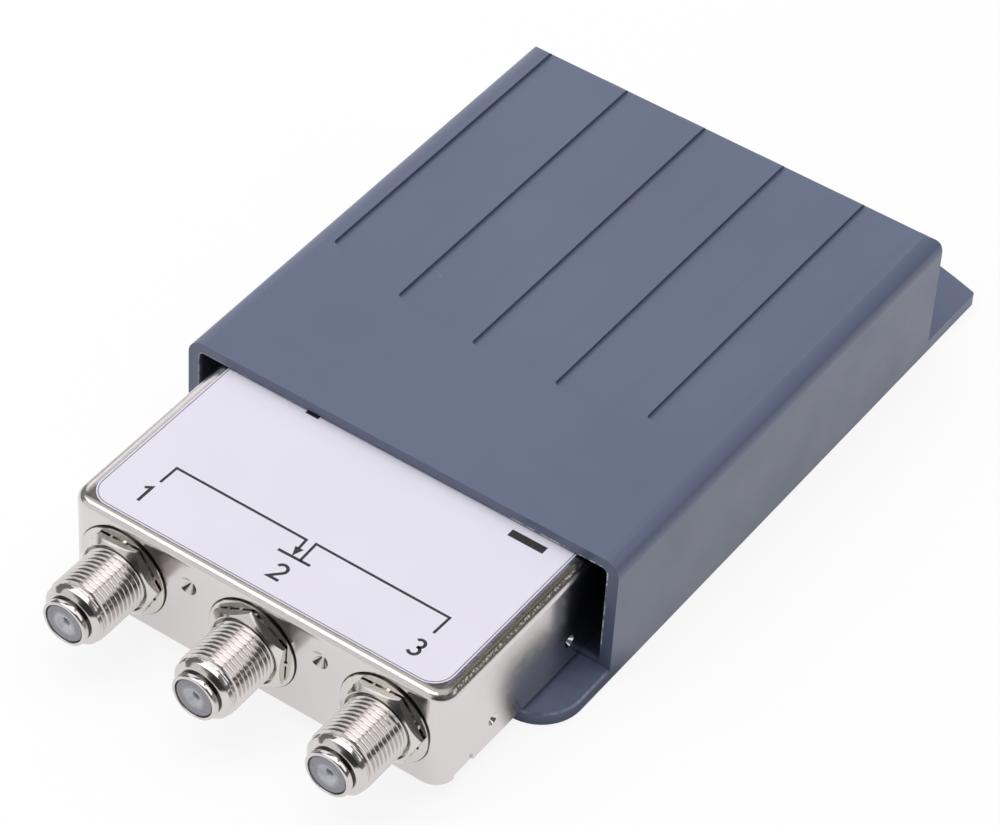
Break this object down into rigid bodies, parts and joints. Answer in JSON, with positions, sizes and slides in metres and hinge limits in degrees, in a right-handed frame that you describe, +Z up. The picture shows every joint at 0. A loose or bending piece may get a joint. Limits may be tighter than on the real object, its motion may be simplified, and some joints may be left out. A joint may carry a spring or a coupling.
{
  "type": "aerial signal splitter",
  "caption": "Flat metal box with a row of F-type ports on its front, sliding in a plastic weather sleeve whose base plate has a fixing tongue and tab.",
  "frame": {"origin": "on the sleeve's underside, in the middle of its mouth", "axes": "+X to the right seen from the ports, +Y from the mouth to the sleeve's closed end, +Z up from the base plate"},
  "size_m": [0.0696, 0.1417, 0.0212],
  "materials": {
    "sleeve_plastic": "fine moulded grain, dark grey",
    "case_metal": "nickel plate, fine grain",
    "tray_metal": "nickel plate, satin",
    "label_film": "printed film, satin",
    "board_laminate": "solder mask, satin",
    "ferrite": "pressed ferrite, matte",
    "copper_wire": "enamelled copper, gloss",
    "resistor_body": "lacquered",
    "diode_body": "moulded epoxy",
    "chip_body": "fired ceramic",
    "port_metal": "bright nickel plate, turned",
    "fixing_metal": "nickel plate",
    "insulator_plastic": "moulded, satin",
    "contact_metal": "tin plate over bronze"
  },
  "bodies": {
    "sleeve": {"weather_sleeve": "sleeve_plastic"},
    "splitter_box": {"case": "case_metal", "lid_tray": "tray_metal", "label": "label_film", "circuit_board": "board_laminate", "matching_core": "ferrite", "matching_winding": "copper_wire", "splitter_core": "ferrite", "splitter_winding": "copper_wire", "choke_rod": "ferrite", "choke_coil": "copper_wire", "balance_resistor": "resistor_body", "pass_diode": "diode_body", "blocking_capacitors": "chip_body", "port_1_barrel": "port_metal", "port_1_washer": "fixing_metal", "port_1_lock_washer": "fixing_metal", "port_1_nut": "fixing_metal", "port_1_insulator": "insulator_plastic", "port_1_contact": "contact_metal", "port_2_barrel": "port_metal", "port_2_washer": "fixing_metal", "port_2_lock_washer": "fixing_metal", "port_2_nut": "fixing_metal", "port_2_insulator": "insulator_plastic", "port_2_contact": "contact_metal", "port_3_barrel": "port_metal", "port_3_washer": "fixing_metal", "port_3_lock_washer": "fixing_metal", "port_3_nut": "fixing_metal", "port_3_insulator": "insulator_plastic", "port_3_contact": "contact_metal"}
  },
  "joints": [
    {"name": "box_slide", "type": "slide", "parent": "sleeve", "child": "splitter_box", "axis": [0, 1, 0], "range_m": [-0.024, 0.052]}
  ]
}
